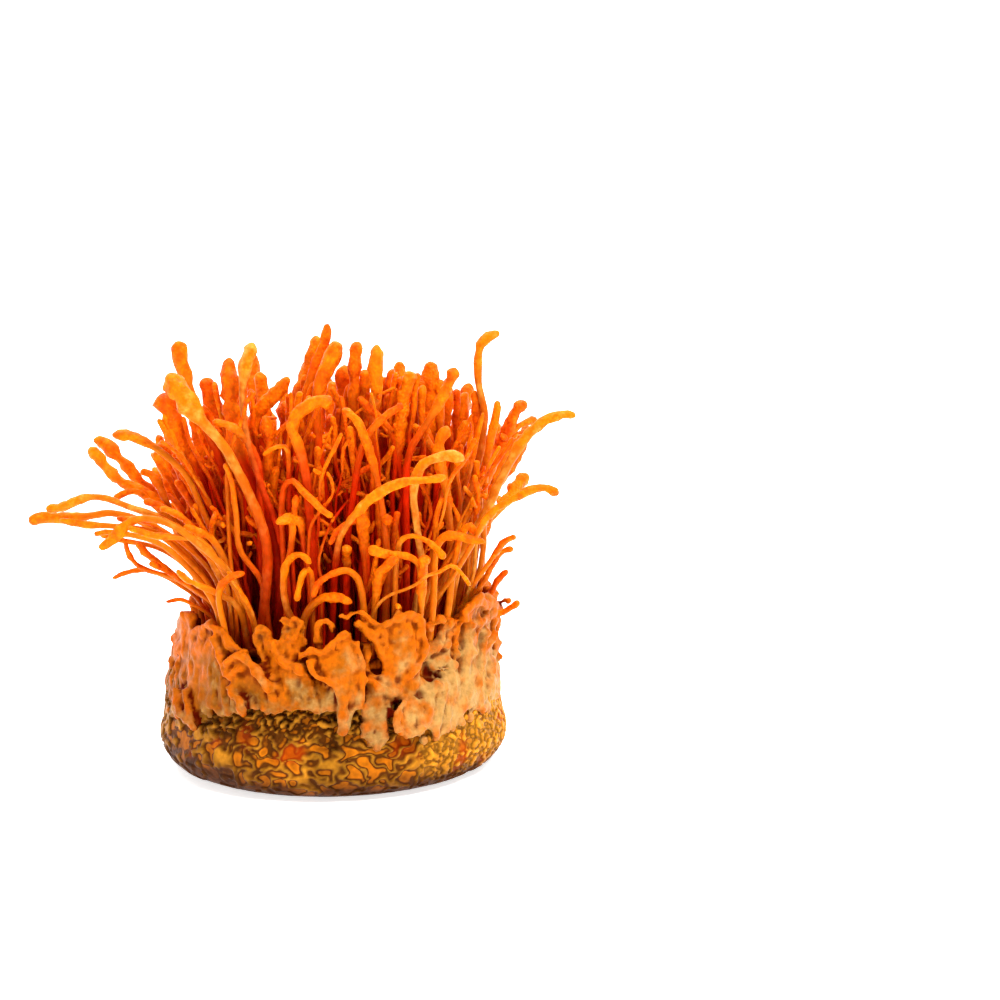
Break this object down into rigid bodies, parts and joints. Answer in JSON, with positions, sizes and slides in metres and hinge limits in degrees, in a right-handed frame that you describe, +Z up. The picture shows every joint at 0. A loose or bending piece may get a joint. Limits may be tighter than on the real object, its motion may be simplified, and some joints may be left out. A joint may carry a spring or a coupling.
{
  "type": "cordyceps bunch",
  "caption": "Upright bunch of slender orange club-tipped fungus stalks growing from a frilled fleshy mat on a round, flat-based rice block.",
  "frame": {"origin": "centre of the rice block's flat underside", "axes": "+Z up along the block's axis, -Y the front that the picture shows, +X to its right"},
  "size_m": [0.1316, 0.1011, 0.1112],
  "materials": {
    "rice": "moist, marbled",
    "mycelium": "soft satin",
    "stalk": "soft satin, grainy"
  },
  "bodies": {
    "root": {"mycelium_mat": "mycelium", "rice_block": "rice", "stalk_arch_left": "stalk", "stalk_arch_right": "stalk", "stalk_back_01": "stalk", "stalk_back_02": "stalk", "stalk_back_03": "stalk", "stalk_back_04": "stalk", "stalk_back_05": "stalk", "stalk_back_06": "stalk", "stalk_back_07": "stalk", "stalk_back_08": "stalk", "stalk_back_09": "stalk", "stalk_back_10": "stalk", "stalk_back_11": "stalk", "stalk_blunt_left": "stalk", "stalk_blunt_top": "stalk", "stalk_broad_left_of_peak": "stalk", "stalk_broad_right_of_peak": "stalk", "stalk_club_left": "stalk", "stalk_club_right": "stalk", "stalk_crook": "stalk", "stalk_elbowed": "stalk", "stalk_far_left_high": "stalk", "stalk_far_left_low": "stalk", "stalk_great_curve": "stalk", "stalk_knobbed": "stalk", "stalk_left_droop": "stalk", "stalk_left_finger_high": "stalk", "stalk_left_finger_low": "stalk", "stalk_left_hook": "stalk", "stalk_low_bar": "stalk", "stalk_pale_bar": "stalk", "stalk_pale_upright": "stalk", "stalk_peak": "stalk", "stalk_right_finger_high": "stalk", "stalk_right_finger_low": "stalk", "stalk_right_finger_short": "stalk", "stalk_right_long": "stalk", "stalk_right_low": "stalk", "stalk_round_top": "stalk", "stalk_slanting": "stalk", "stalk_tall_left": "stalk", "stalk_thin_top": "stalk", "stalk_top_mid": "stalk", "stalk_twin_left": "stalk", "stalk_twin_right": "stalk", "tuft_01": "stalk", "tuft_02": "stalk", "tuft_03": "stalk", "tuft_04": "stalk", "tuft_05": "stalk", "tuft_06": "stalk", "tuft_07": "stalk", "tuft_08": "stalk", "tuft_09": "stalk", "tuft_10": "stalk", "tuft_11": "stalk", "tuft_12": "stalk", "tuft_13": "stalk"}
  },
  "joints": []
}
